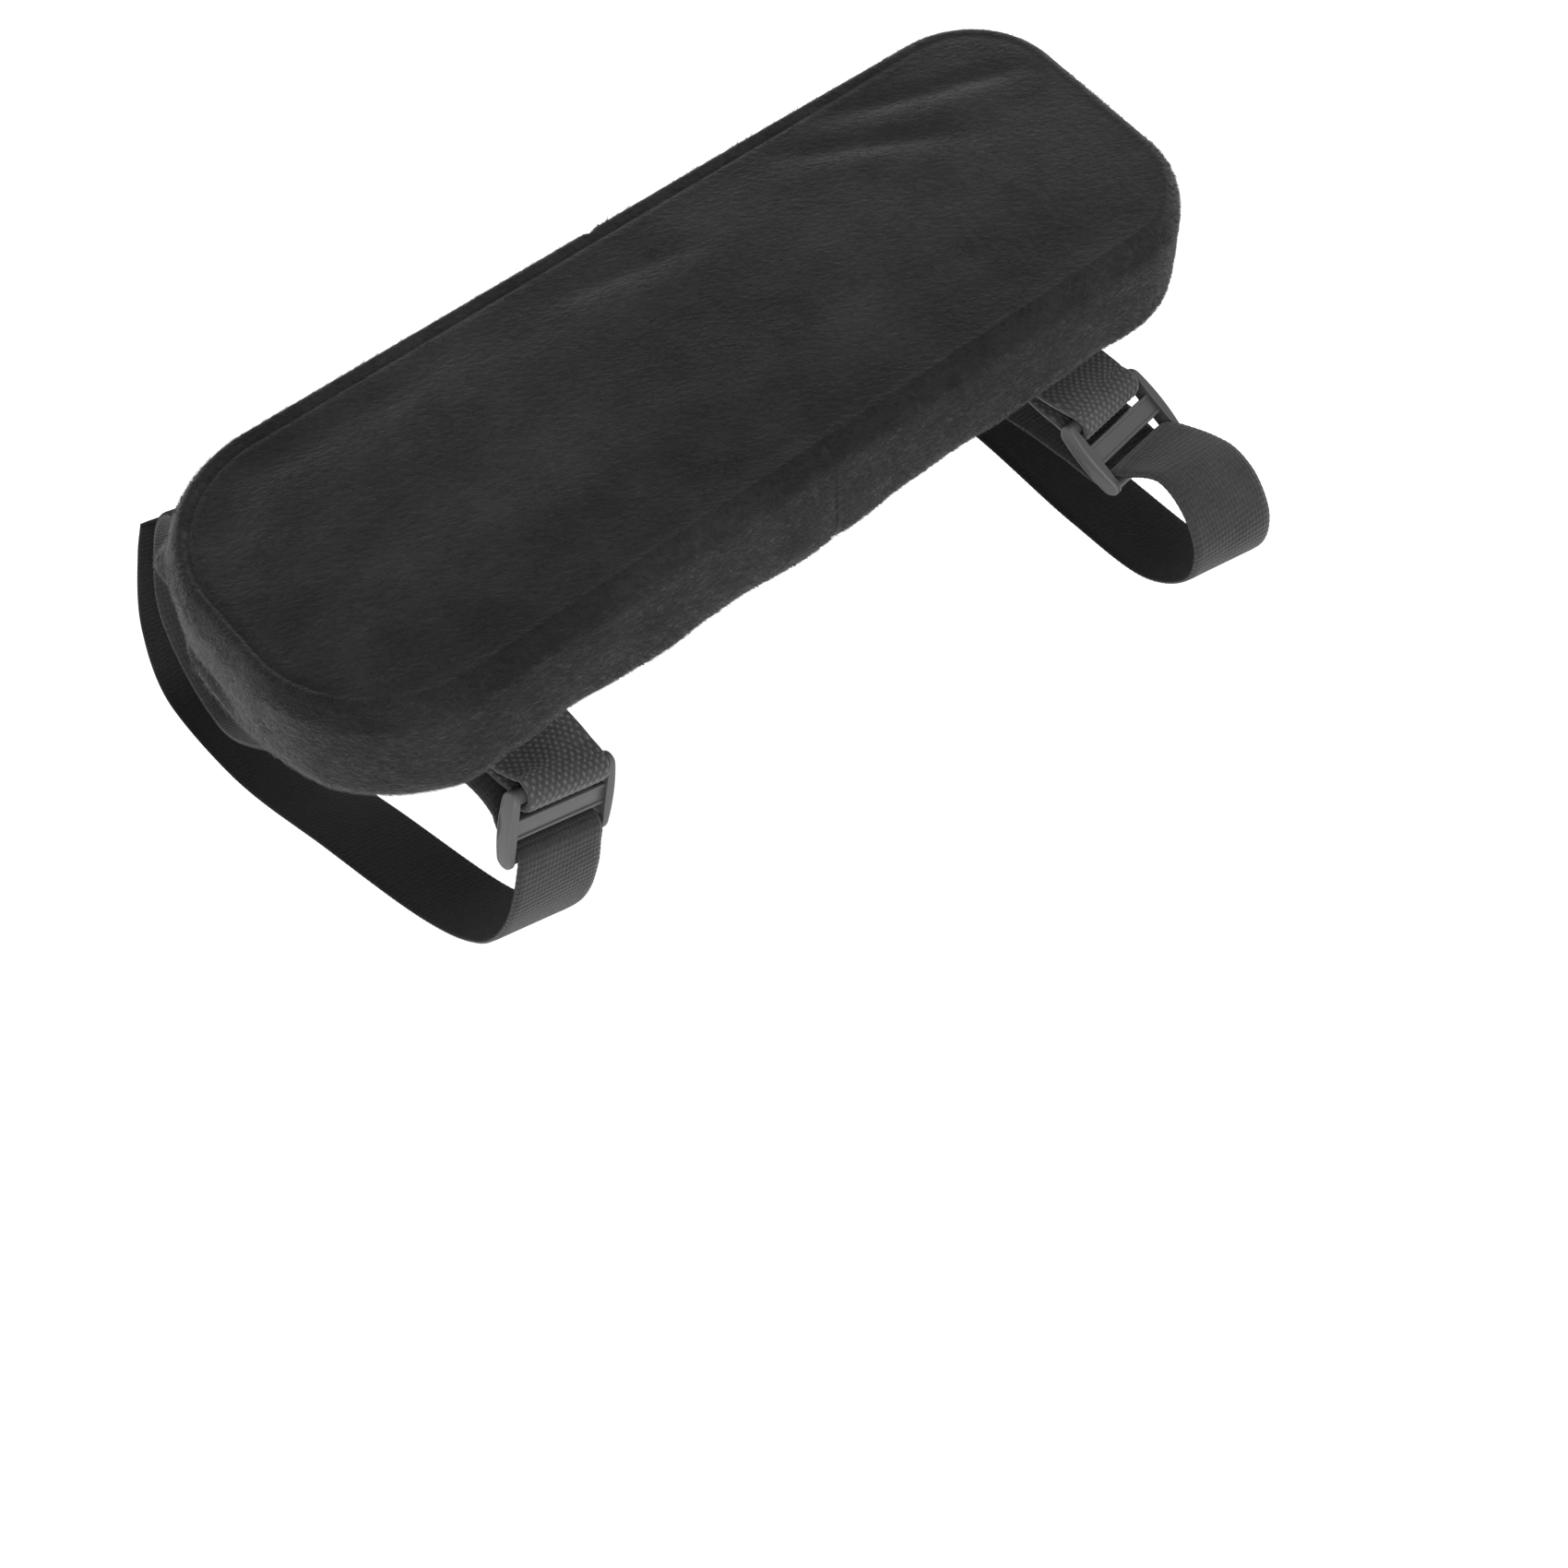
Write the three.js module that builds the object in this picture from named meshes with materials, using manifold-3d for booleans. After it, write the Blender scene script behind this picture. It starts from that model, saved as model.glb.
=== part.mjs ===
// Chair armrest pad: a foam cushion in a zipped plush cover, held on an armrest by two webbing
// straps that run through plastic tri-glide buckles.
// Millimetres. Origin at the centre of the underside, +Z up, +Y towards the squarer end,
// +X towards the side with the buckles.
import * as THREE from 'three';
import { mergeVertices } from 'three/addons/utils/BufferGeometryUtils.js';
import Module from 'manifold-3d';

const wasm = await Module();
wasm.setup();

// Driving dimensions
const GAP = 0.3; // between pieces that touch on the real object
const PAD_LENGTH = 250;
const PAD_WIDTH = 88;
const PAD_TOP = 38;
const PAD_BOTTOM = 1.1;
const FRONT_CORNER = 35;
const REAR_CORNER = 26;
const TOP_EDGE_ROUND = 6;
const BOTTOM_EDGE_ROUND = 13;
const PLUSH = 2.4; // thickness of the plush cloth
const SEAM_INSET = 4.4; // the top seam, in from the outline
const BASE_INSET = 8; // the base seam, in from the outline
const GRIP = { width: 44, length: 110, thick: 0.8, corner: 8 };

const WEB_WIDTH = 24.4;
const WEB_THICK = 1.4;
const TAB_WIDTH = 22.8; // the tab is a coarser, thicker webbing than the strap
const TAB_THICK = 2;
const TOP_BAR_RADIUS = 1.8;
const LOWER_BAR_RADIUS = 1.5;
const BAR_PITCH = 8.2; // between neighbouring bars of a buckle
const MIDDLE_BAR = { width: 5.4, thick: 1.8 };
const RAIL = { length: 20.4, height: 4.4, end: 1.5, bow: 1.1 }; // end and bow: thickness and its swell
const BAR_LENGTH = 25.4; // the opening between the rails
const STRAIGHT_RUN = 3.5; // of a webbing on each side of a bar
const SEWN_Z = PAD_BOTTOM - GAP - WEB_THICK / 2; // centre of a strap sewn under the base
const TAB_Z = PAD_BOTTOM - GAP - TAB_THICK / 2; // centre of a tab's upper layer under the base

const ZIP = { length: 126, height: 18.5, opening: 7.4, tapeThick: 0.8, keelGap: 1.4 };
const TOOTH = { pitch: 3, width: 1.6, depth: 0.9 };
const THREAD = 0.5;

const PLUSH_BLACK = [0x2c2c2d, 0.95, 0];
const FOAM_WHITE = [0xe6dfcb, 0.9, 0];
const CLOTH_BLACK = [0x1d1d1e, 0.9, 0];
const RUBBER_BLACK = [0x161617, 0.6, 0];
const WEBBING_GREY = [0x48484a, 0.85, 0];
const PLASTIC_GREY = [0x3f3f41, 0.5, 0];
const THREAD_BLACK = [0x202021, 0.8, 0];
const METAL_BLACK = [0x2a2a2c, 0.35, 0.8];

const part = new THREE.Group();

function addMesh(name, geometry, [color, roughness, metalness], parent = part) {
  const mesh = new THREE.Mesh(
    geometry,
    new THREE.MeshStandardMaterial({ color, roughness, metalness }),
  );
  mesh.name = name;
  parent.add(mesh);
  return mesh;
}

// Booleans
function solid(geometry) {
  const bare = geometry.clone();
  bare.deleteAttribute('normal');
  bare.deleteAttribute('uv');
  const merged = mergeVertices(bare, 1e-4);
  return new wasm.Manifold(
    new wasm.Mesh({
      numProp: 3,
      vertProperties: new Float32Array(merged.attributes.position.array),
      triVerts: new Uint32Array(merged.index.array),
    }),
  );
}

function shape(made) {
  const mesh = made.getMesh();
  const geometry = new THREE.BufferGeometry();
  geometry.setAttribute('position', new THREE.BufferAttribute(mesh.vertProperties, 3));
  geometry.setIndex(new THREE.BufferAttribute(mesh.triVerts, 1));
  geometry.computeVertexNormals();
  return geometry;
}

function box(sizeX, sizeY, sizeZ, x = 0, y = 0, z = 0) {
  return new THREE.BoxGeometry(sizeX, sizeY, sizeZ).translate(x, y, z);
}

function joined(geometries) {
  return geometries.map(solid).reduce((a, b) => a.add(b));
}

// The pad's outline, inset all round
function outline(inset) {
  const x = PAD_WIDTH / 2 - inset;
  const y = PAD_LENGTH / 2 - inset;
  const front = FRONT_CORNER - inset;
  const rear = REAR_CORNER - inset;
  const path = new THREE.Shape();
  path.moveTo(-x + front, -y);
  path.lineTo(x - front, -y);
  path.absarc(x - front, -y + front, front, -Math.PI / 2, 0);
  path.lineTo(x, y - rear);
  path.absarc(x - rear, y - rear, rear, 0, Math.PI / 2);
  path.lineTo(-x + rear, y);
  path.absarc(-x + rear, y - rear, rear, Math.PI / 2, Math.PI);
  path.lineTo(-x, -y + front);
  path.absarc(-x + front, -y + front, front, Math.PI, Math.PI * 1.5);
  return path;
}

function slab(inset, low, high, round = 0) {
  const bevel = round > 0;
  return new THREE.ExtrudeGeometry(outline(inset), {
    depth: high - low - 2 * round,
    curveSegments: 9,
    bevelEnabled: bevel,
    bevelThickness: round,
    bevelSize: round,
    bevelOffset: -round,
    bevelSegments: 4,
  }).translate(0, 0, low + round);
}

// The cushion's form: a crisp rounded top edge and a deeply tucked bottom edge
function cushion(inset) {
  const low = PAD_BOTTOM + inset;
  const high = PAD_TOP - inset;
  const upper = solid(slab(inset, low - 30, high, TOP_EDGE_ROUND - inset));
  const lower = solid(slab(inset, low, high + 30, BOTTOM_EDGE_ROUND - inset));
  return upper.intersect(lower);
}

// Cover: top panel, side band and base panel, cut from one shell along the two seams
function zipOpening() {
  return solid(box(14, ZIP.length + 6, ZIP.opening, -PAD_WIDTH / 2, 0, ZIP.height));
}

function makeCover() {
  const shell = cushion(0).subtract(cushion(PLUSH));
  const middle = PAD_TOP / 2;
  const topCut = (inset) => solid(slab(inset, middle, PAD_TOP + 5));
  const baseCut = (inset) => solid(slab(inset, -5, middle));
  const band = shell
    .subtract(topCut(SEAM_INSET))
    .subtract(baseCut(BASE_INSET))
    .subtract(zipOpening());
  addMesh('top_panel', shape(shell.intersect(topCut(SEAM_INSET + GAP))), PLUSH_BLACK);
  addMesh('side_band', shape(band), PLUSH_BLACK);
  addMesh('base_panel', shape(shell.intersect(baseCut(BASE_INSET + GAP))), CLOTH_BLACK);
  const zipRoom = solid(box(12, ZIP.length + 6, ZIP.opening + 2, -PAD_WIDTH / 2, 0, ZIP.height));
  addMesh('foam_core', shape(cushion(PLUSH + GAP).subtract(zipRoom)), FOAM_WHITE);
}

function makeGripPanel() {
  const { width, length, thick, corner } = GRIP;
  const path = new THREE.Shape();
  const x = width / 2;
  const y = length / 2;
  path.moveTo(-x + corner, -y);
  path.absarc(x - corner, -y + corner, corner, -Math.PI / 2, 0);
  path.absarc(x - corner, y - corner, corner, 0, Math.PI / 2);
  path.absarc(-x + corner, y - corner, corner, Math.PI / 2, Math.PI);
  path.absarc(-x + corner, -y + corner, corner, Math.PI, Math.PI * 1.5);
  const plate = new THREE.ExtrudeGeometry(path, {
    depth: thick,
    curveSegments: 5,
    bevelEnabled: false,
  });
  addMesh('grip_panel', plate, RUBBER_BLACK);
}

// Zip in the side band opposite the buckles, running along Y
function zipSide(name, side) {
  const tapeX = -PAD_WIDTH / 2 + PLUSH / 2;
  const keel = (side * ZIP.keelGap) / 2;
  const spine = 0.8;
  const tapeWidth = ZIP.opening / 2 - GAP - ZIP.keelGap / 2 - spine - TOOTH.depth - GAP;
  const coilInner = keel;
  const coilOuter = coilInner + side * (TOOTH.depth + spine);
  const teeth = [];
  const count = Math.floor(ZIP.length / TOOTH.pitch);
  for (let i = 0; i < count; i++) {
    const y = (i - (count - 1) / 2) * TOOTH.pitch;
    const z = ZIP.height + coilInner + (side * (TOOTH.depth + 0.2)) / 2;
    teeth.push(box(1.8, TOOTH.width, TOOTH.depth + 0.2, tapeX, y, z));
  }
  const spineZ = ZIP.height + coilOuter - (side * spine) / 2;
  teeth.push(box(1.8, ZIP.length, spine, tapeX, 0, spineZ));
  addMesh(`zip_coil_${name}`, shape(joined(teeth)), METAL_BLACK);
  const tapeZ = ZIP.height + coilOuter + side * (GAP + tapeWidth / 2);
  const tape = box(ZIP.tapeThick, ZIP.length + 4, tapeWidth, tapeX, 0, tapeZ);
  addMesh(`zip_tape_${name}`, tape, CLOTH_BLACK);
}

const SLIDER = { length: 9, height: 6.4, plate: 1.1, room: 2.6, y: 55 };
const PULL = { length: 16, width: 4.6, thick: 1.1, pin: 0.8, eye: 1.8, neck: 3.4 };

function makeZip() {
  zipSide('upper', 1);
  zipSide('lower', -1);
  const tapeX = -PAD_WIDTH / 2 + PLUSH / 2;
  for (const [name, end] of [['front', -1], ['rear', 1]]) {
    const y = end * (ZIP.length / 2 + 1.3);
    addMesh(`zip_stop_${name}`, box(2, 1.6, 4, tapeX, y, ZIP.height), METAL_BLACK);
  }

  const outerX = tapeX - SLIDER.room / 2 - SLIDER.plate / 2;
  const innerX = tapeX + SLIDER.room / 2 + SLIDER.plate / 2;
  const keelThick = ZIP.keelGap - 2 * GAP;
  const pinX = outerX - SLIDER.plate / 2 - PULL.eye - 0.4;
  const wing = (x) => box(SLIDER.plate, SLIDER.length, SLIDER.height, x, SLIDER.y, ZIP.height);
  const keelWidth = SLIDER.room + SLIDER.plate;
  const keel = box(keelWidth, 3, keelThick, tapeX, SLIDER.y + 2.5, ZIP.height);
  const pin = new THREE.CylinderGeometry(PULL.pin, PULL.pin, SLIDER.height, 12)
    .rotateX(Math.PI / 2)
    .translate(pinX, SLIDER.y, ZIP.height);
  const lugs = [-1, 1].map((side) => {
    const z = ZIP.height + side * (SLIDER.height / 2 - 0.45);
    return box(3.6, 2.4, 0.9, pinX + 1.1, SLIDER.y, z);
  });
  const slider = joined([wing(outerX), wing(innerX), keel, pin, ...lugs]);
  addMesh('zip_slider', shape(slider), METAL_BLACK);

  const upright = (radius, length) =>
    new THREE.CylinderGeometry(radius, radius, length, 16)
      .rotateX(Math.PI / 2)
      .translate(pinX, SLIDER.y, ZIP.height);
  const tabY = SLIDER.y - 2.4 - PULL.length / 2;
  const tab = box(PULL.thick, PULL.length, PULL.width, pinX, tabY, ZIP.height);
  const neck = box(PULL.thick, 3, PULL.neck, pinX, SLIDER.y - 2.3, ZIP.height);
  const pull = joined([tab, neck, upright(PULL.eye, PULL.neck)]);
  const bore = solid(upright(PULL.pin + 0.25, PULL.neck + 2));
  addMesh('zip_pull', shape(pull.subtract(bore)), METAL_BLACK);
}

// Buckle poses: pivot is the centre of the top bar, bar runs along it, down runs along the rails
const BUCKLES = {
  front: makeFrame([46.5, -77.9, -7], [-0.024, 0.926, -0.376], [0.201, -0.364, -0.909]),
  rear: makeFrame([49.0, 82.6, -1.7], [-0.19, 0.974, -0.125], [0.865, 0.105, -0.491]),
};

function makeFrame(pivot, barDirection, downDirection) {
  const bar = new THREE.Vector3(...barDirection).normalize();
  const down = new THREE.Vector3(...downDirection);
  down.addScaledVector(bar, -down.dot(bar)).normalize();
  const out = new THREE.Vector3().crossVectors(down, bar);
  return { pivot: new THREE.Vector3(...pivot), bar, down, out };
}

function buckleGeometry() {
  const railPath = new THREE.Shape();
  const half = RAIL.length / 2;
  const end = RAIL.height / 2;
  railPath.moveTo(-half + end, -end);
  railPath.lineTo(half - end, -end);
  railPath.absarc(half - end, 0, end, -Math.PI / 2, Math.PI / 2);
  railPath.lineTo(-half + end, end);
  railPath.absarc(-half + end, 0, end, Math.PI / 2, Math.PI * 1.5);
  const side = new THREE.ExtrudeGeometry(railPath, {
    depth: 12,
    curveSegments: 6,
    bevelEnabled: false,
  });
  const inner = BAR_LENGTH / 2;
  const bowed = new THREE.Shape();
  bowed.moveTo(-half - 1, inner);
  bowed.lineTo(half + 1, inner);
  bowed.lineTo(half, inner + RAIL.end);
  bowed.quadraticCurveTo(0, inner + RAIL.end + 2 * RAIL.bow, -half, inner + RAIL.end);
  bowed.closePath();
  const front = new THREE.ExtrudeGeometry(bowed, {
    depth: 12,
    curveSegments: 8,
    bevelEnabled: false,
  });
  const far = solid(front.translate(BAR_PITCH, 0, -6)).intersect(
    solid(side.rotateX(Math.PI / 2).translate(BAR_PITCH, inner + 8, 0)),
  );
  const bars = [
    new THREE.CylinderGeometry(TOP_BAR_RADIUS, TOP_BAR_RADIUS, BAR_LENGTH + 1, 12),
    new THREE.CylinderGeometry(LOWER_BAR_RADIUS, LOWER_BAR_RADIUS, BAR_LENGTH + 1, 12).translate(
      2 * BAR_PITCH,
      0,
      0,
    ),
    box(MIDDLE_BAR.width, BAR_LENGTH + 1, MIDDLE_BAR.thick, BAR_PITCH, 0, 0.3),
  ];
  return shape(joined(bars).add(far).add(far.mirror([0, 1, 0])));
}

// Points round a bar, in degrees from its upper side, turning outwards, with a straight run
// on to the bar and off it
function roundBar(frame, distanceDown, radius, fromAngle, toAngle) {
  const centre = frame.pivot.clone().addScaledVector(frame.down, distanceDown);
  const steps = Math.ceil((toAngle - fromAngle) / 45);
  const place = (degrees, run) => {
    const angle = THREE.MathUtils.degToRad(degrees);
    const down = run * Math.sin(angle) - radius * Math.cos(angle);
    const out = run * Math.cos(angle) + radius * Math.sin(angle);
    const at = centre.clone().addScaledVector(frame.down, down).addScaledVector(frame.out, out);
    return { at, across: frame.bar };
  };
  const turn = Array.from({ length: steps + 1 }, (_, i) =>
    place(fromAngle + ((toAngle - fromAngle) * i) / steps, 0),
  );
  return [place(fromAngle, -STRAIGHT_RUN), ...turn, place(toAngle, STRAIGHT_RUN)];
}

function pointsOf(list, across) {
  return list.map((p) => ({ at: new THREE.Vector3(...p), across }));
}

// A flat webbing along a path; from and to are millimetres along it
class Webbing {
  constructor(points, width, thick) {
    this.width = width;
    this.thick = thick;
    this.path = new THREE.CatmullRomCurve3(points.map((p) => p.at));
    this.path.arcLengthDivisions = 800;
    this.across = points.map((p) => p.across);
    this.length = this.path.getLength();
  }

  // The width direction, turning evenly from each point to the next
  acrossAt(u) {
    const place = this.path.getUtoTmapping(u) * (this.across.length - 1);
    const index = Math.min(Math.floor(place), this.across.length - 2);
    return this.across[index].clone().lerp(this.across[index + 1], place - index);
  }

  geometry(from, to, stepLength = 5) {
    const steps = Math.max(2, Math.ceil((to - from) / stepLength));
    const strip = new THREE.BoxGeometry(1, this.width, this.thick, steps, 1, 1);
    const position = strip.attributes.position;
    for (let i = 0; i < position.count; i++) {
      const along = (from + (position.getX(i) + 0.5) * (to - from)) / this.length;
      const u = Math.min(Math.max(along, 0), 1);
      const tangent = this.path.getTangentAt(u);
      const across = this.acrossAt(u);
      across.addScaledVector(tangent, -across.dot(tangent)).normalize();
      const normal = new THREE.Vector3().crossVectors(tangent, across);
      const point = this.path
        .getPointAt(u)
        .addScaledVector(across, position.getY(i))
        .addScaledVector(normal, position.getZ(i));
      position.setXYZ(i, point.x, point.y, point.z);
    }
    return strip;
  }
}

const ACROSS_PAD = new THREE.Vector3(0, 1, 0);
const STRAPS = {
  front: {
    tabY: -78.6,
    tabAngles: [21, 221],
    tabDrop: -1.6,
    sewn: [[-6, -88.5, SEWN_Z], [-18, -89, SEWN_Z], [-30, -89.5, SEWN_Z], [-46, -91.5, -0.6]],
    inner: [
      [-64.3, -94, -3.5], [-73.4, -97.4, -22.2], [-70, -102.9, -40], [-49, -105.9, -59],
      [-21.3, -104.5, -41.5], [-3, -99, -26], [12, -92, -14.5], [25, -86.5, -9], [34, -83.5, -9],
      [40.5, -82.3, -12.5],
    ],
    innerAcross: new THREE.Vector3(-0.024, 0.926, -0.376),
    barAngles: [12, 90],
    outer: [
      [53.6, -86.9, -31], [53, -89.4, -39.5], [49.4, -91.6, -49.5], [43, -93.4, -58.5],
      [25, -96, -71.5], [-12, -102, -77.5], [-51, -106.4, -86.5], [-73.8, -107.7, -77],
      [-80, -105.4, -53.5], [-78.7, -99.9, -27.3], [-77.4, -96.9, -16.7],
    ],
    outerAcross: new THREE.Vector3(0, 0.926, -0.376),
  },
  rear: {
    tabY: 83,
    tabAngles: [60, 256],
    tabDrop: -0.6,
    sewn: [[-6, 86, SEWN_Z], [-18, 86, SEWN_Z], [-30, 86, SEWN_Z], [-44, 86, -0.8]],
    inner: [
      [-54, 86, -5.5], [-56, 86, -13], [-48, 86, -20], [-28, 86, -22.8],
      [0, 86, -22], [24, 85.5, -18.6], [38, 84.6, -15], [48, 83.8, -13],
    ],
    innerAcross: new THREE.Vector3(0, 1, 0),
    barAngles: [-5, 35],
    outer: [
      [76.1, 86.3, -1.2], [84.5, 86.3, -3.9], [91.1, 86.3, -13.2], [90.6, 86.3, -24.2],
      [79.1, 86.3, -35.2], [54.1, 86.3, -37.7], [21, 86.3, -36.2], [-15, 86.3, -38],
      [-45, 86.3, -38.5], [-62, 86.3, -32], [-69, 86.3, -19],
    ],
    outerAcross: new THREE.Vector3(0.086, 0.981, -0.174),
  },
};
const BRIDGE = 26; // length of strap that flexes next to the buckle's lower bar

function makeStrapSet(name) {
  const frame = BUCKLES[name];
  const set = STRAPS[name];

  const buckle = addMesh(`${name}_buckle`, buckleGeometry(), PLASTIC_GREY);
  buckle.applyMatrix4(
    new THREE.Matrix4().makeBasis(frame.down, frame.bar, frame.out).setPosition(frame.pivot),
  );

  // The tab is doubled round the top bar, with both layers sewn under the base
  const between = TAB_THICK + GAP;
  const layer = (z) => [[6, set.tabY, z], [17, set.tabY, z], [28, set.tabY, z]];
  const drop = [33, set.tabY, set.tabDrop];
  const lowerDrop = [33 - 0.35 * between, set.tabY, set.tabDrop - 1.2 * between];
  const wrap = TOP_BAR_RADIUS + GAP + TAB_THICK / 2;
  const tabPoints = [
    ...pointsOf([...layer(TAB_Z), drop], ACROSS_PAD),
    ...roundBar(frame, 0, wrap, ...set.tabAngles),
    ...pointsOf([lowerDrop, ...layer(TAB_Z - between).reverse()], ACROSS_PAD),
  ];
  const tab = new Webbing(tabPoints, TAB_WIDTH, TAB_THICK);
  addMesh(`${name}_tab`, tab.geometry(0, tab.length, 2), WEBBING_GREY);
  const tackZ = TAB_Z - between - TAB_THICK / 2 - GAP - THREAD / 2;
  const tackWidth = TAB_WIDTH - 3;
  const tack = joined([
    box(2.2, tackWidth, THREAD, 22, set.tabY, tackZ),
    box(2.2, tackWidth, THREAD, 12, set.tabY, tackZ),
    box(10, 0.8, THREAD, 17, set.tabY, tackZ),
  ]);
  addMesh(`${name}_tab_stitch`, shape(tack), THREAD_BLACK);

  // The strap is sewn under the base, turns back under the pad, passes over the lower bar
  // and hangs as a free end
  const start = pointsOf(set.sewn, ACROSS_PAD);
  const inner = pointsOf(set.inner, set.innerAcross);
  const turn = LOWER_BAR_RADIUS + GAP + WEB_THICK / 2;
  const strapPoints = [
    ...start,
    ...inner,
    ...roundBar(frame, 2 * BAR_PITCH, turn, ...set.barAngles),
    ...pointsOf(set.outer, set.outerAcross),
  ];
  const strap = new Webbing(strapPoints, WEB_WIDTH, WEB_THICK);
  const entry = lengthTo(strap, start.length + inner.length + 1);
  const bend = entry - BRIDGE;
  addMesh(`${name}_strap_fixed`, strap.geometry(0, bend - GAP), WEBBING_GREY);
  addMesh(`${name}_strap_bridge`, strap.geometry(bend, entry, 4), WEBBING_GREY);
  addMesh(`${name}_strap_free`, strap.geometry(entry + 1.5 * GAP, strap.length, 2.4), WEBBING_GREY);

  const [stitchX, stitchY] = set.sewn[1];
  addMesh(`${name}_strap_stitch`, shape(boxStitch(stitchX, stitchY)), THREAD_BLACK);
}

// Millimetres along a webbing to one of its points
function lengthTo(webbing, index) {
  const t = index / (webbing.path.points.length - 1);
  const lengths = webbing.path.getLengths();
  return lengths[Math.round(t * (lengths.length - 1))];
}

// A square of thread with a cross in it, under a sewn strap end
function boxStitch(x, y) {
  const side = 17;
  const z = SEWN_Z - WEB_THICK / 2 - GAP - THREAD / 2;
  const line = (length, angle, dx, dy) =>
    new THREE.BoxGeometry(length, 0.8, THREAD).rotateZ(angle).translate(x + dx, y + dy, z);
  const half = side / 2;
  return joined([
    line(side + 0.8, 0, 0, half),
    line(side + 0.8, 0, 0, -half),
    line(side + 0.8, Math.PI / 2, half, 0),
    line(side + 0.8, Math.PI / 2, -half, 0),
    line(side * Math.SQRT2, Math.PI / 4, 0, 0),
    line(side * Math.SQRT2, -Math.PI / 4, 0, 0),
  ]);
}

makeCover();
makeGripPanel();
makeZip();
makeStrapSet('front');
makeStrapSet('rear');

export default part;
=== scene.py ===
"""Looks of the chair armrest pad: a plush cushion cover, webbing straps, tri-glide buckles, zip and
stitching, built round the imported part. Sizes are in millimetres, and the stage, lights and camera
are in metres.
"""

import math

import bmesh
import bpy
import numpy as np
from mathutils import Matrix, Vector, noise


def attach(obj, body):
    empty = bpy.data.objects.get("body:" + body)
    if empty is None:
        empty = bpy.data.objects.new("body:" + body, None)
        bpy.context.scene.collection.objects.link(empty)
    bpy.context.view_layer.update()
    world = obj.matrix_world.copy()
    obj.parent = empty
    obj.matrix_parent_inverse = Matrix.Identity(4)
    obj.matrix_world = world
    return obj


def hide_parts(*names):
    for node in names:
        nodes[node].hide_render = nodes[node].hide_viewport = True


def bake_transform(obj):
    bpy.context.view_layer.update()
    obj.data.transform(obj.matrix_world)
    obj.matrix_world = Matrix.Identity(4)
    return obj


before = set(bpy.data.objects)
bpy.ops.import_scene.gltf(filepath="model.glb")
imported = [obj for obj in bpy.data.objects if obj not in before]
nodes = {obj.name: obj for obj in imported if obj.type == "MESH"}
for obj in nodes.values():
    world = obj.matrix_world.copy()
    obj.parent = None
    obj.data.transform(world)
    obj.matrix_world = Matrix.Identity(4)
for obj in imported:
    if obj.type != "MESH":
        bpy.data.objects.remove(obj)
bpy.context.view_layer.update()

MM = 0.001
PAD = {"x": 44.0, "y": 125.0, "top": 38.0, "low": 1.1, "front": 35.0, "rear": 26.0}
BOTTOM_ROUND, TOP_ROUND = 13.0, 6.0
BASE_INSET, SEAM_INSET = 8.0, 4.4
ZIP = {"y": 65.0, "z": 18.5, "half": 3.9}
WEB = {"half": 12.2, "thick": 0.7}
TAB = {"half": 11.4, "thick": 1.0, "z": -0.2, "between": 2.3}
BAR_PITCH, TOP_BAR, LOWER_BAR, BAR_LENGTH = 8.2, 1.8, 1.5, 25.4
RAIL = {"length": 20.4, "height": 4.4, "end": 1.5, "bow": 1.1}
BAR_GAP = 0.3  # between a buckle's bar and the webbing round it
BRIDGE = 26.0  # the stretch of strap that flexes into the buckle
SEWN_Z = 0.1
SIDE_SEAM = {"y": 2.5, "half": 0.5, "depth": 0.8}
TOOTH_PITCH = 1.5
TAB_ROW, TAB_DOT = 1.15, 1.8  # between rows of raised dots, and between dots in a row
RIB_PITCH = 1.5
PILE = Vector((0.42, 0.81, -0.42))  # the way the plush lies
PILE_PER_MM2 = 3.6
rng = np.random.default_rng(7)


# ---------------------------------------------------------------- small helpers
def smooth(a, b, x):
    t = np.clip((np.asarray(x, float) - a) / (b - a), 0, 1)
    return t * t * (3 - 2 * t)


def unit(v):
    v = np.asarray(v, float)
    return v / np.maximum(np.linalg.norm(v, axis=-1, keepdims=True), 1e-12)


def field(points, scale, seed=0.0, octaves=2):
    """Smooth noise at points (millimetres), one value each, roughly from -1 to 1."""
    shift = Vector((seed, seed * 1.7, seed * 0.3))
    flat = np.asarray(points, float).reshape(-1, 3) / scale
    values = [
        noise.fractal(Vector(p) + shift, 1.0, 2.0, octaves, noise_basis="PERLIN_ORIGINAL")
        for p in flat
    ]
    return np.array(values).reshape(np.asarray(points).shape[:-1])


def make_object(name, points, faces, materials, slots=None, uv=None):
    """points in millimetres; uv is one pair per point, in millimetres too."""
    mesh = bpy.data.meshes.new(name)
    mesh.from_pydata((np.asarray(points, float) * MM).tolist(), [], faces)
    for material in materials:
        mesh.materials.append(material)
    if slots is not None:
        mesh.polygons.foreach_set("material_index", np.asarray(slots, np.int32))
    if uv is not None:
        layer = mesh.uv_layers.new(name="UVMap")
        loops = np.zeros(len(mesh.loops), np.int32)
        mesh.loops.foreach_get("vertex_index", loops)
        layer.data.foreach_set("uv", (np.asarray(uv, float)[loops] * 0.01).ravel())
    mesh.polygons.foreach_set("use_smooth", [True] * len(mesh.polygons))
    mesh.update()
    made = bpy.data.objects.new(name, mesh)
    bpy.context.scene.collection.objects.link(made)
    return made


def place(obj, body, slot, *replaced):
    """Gives a piece its body and hides the CAD nodes that it stands for. The slot argument is not used."""
    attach(obj, body)
    if replaced:
        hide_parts(*replaced)


def recolour(kept, material):
    """Keeps a CAD node's shape and gives it a better material."""
    kept.data.materials.clear()
    kept.data.materials.append(material)


# ---------------------------------------------------------------- materials
def new_material(name):
    material = bpy.data.materials.new(name)
    material.use_nodes = True
    tree = material.node_tree
    return material, tree, tree.nodes["Principled BSDF"]


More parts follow.
